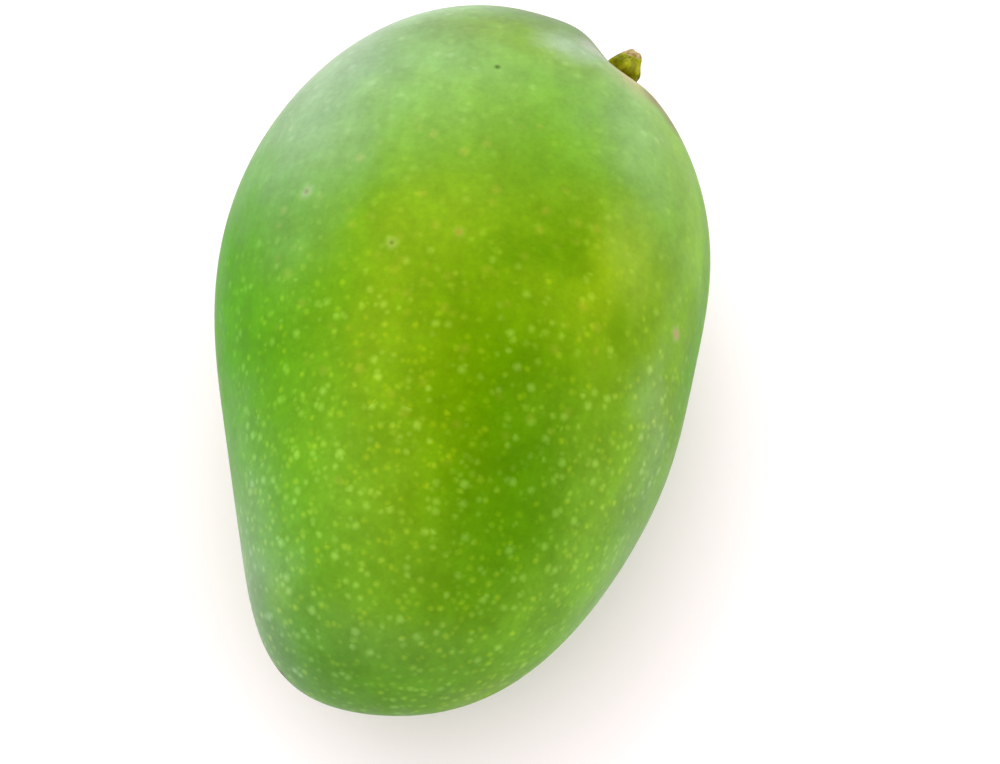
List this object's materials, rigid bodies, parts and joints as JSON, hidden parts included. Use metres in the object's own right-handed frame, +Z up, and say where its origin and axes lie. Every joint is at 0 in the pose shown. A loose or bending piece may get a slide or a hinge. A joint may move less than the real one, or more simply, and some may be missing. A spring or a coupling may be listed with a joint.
{
  "type": "mango",
  "caption": "Whole green mango lying on one cheek: a heart-like oval with a tapering tip, and a short stub of stalk in a corky collar.",
  "frame": {"origin": "on the flat rest spot of the lower cheek, under the middle of the fruit", "axes": "+Z up, from the lower cheek to the upper one; +Y along the fruit, from the tip to the stalk end; +X towards the rounder flank"},
  "size_m": [0.0785, 0.1189, 0.0664],
  "materials": {
    "skin": "waxy semi-gloss fruit skin with pale dots",
    "stalk": "fresh olive-green stalk with a dry brown tip",
    "cork": "dry dark brown cork"
  },
  "bodies": {
    "root": {"fruit": "skin", "stalk_stub": "stalk", "stalk_collar": "cork"}
  },
  "joints": []
}
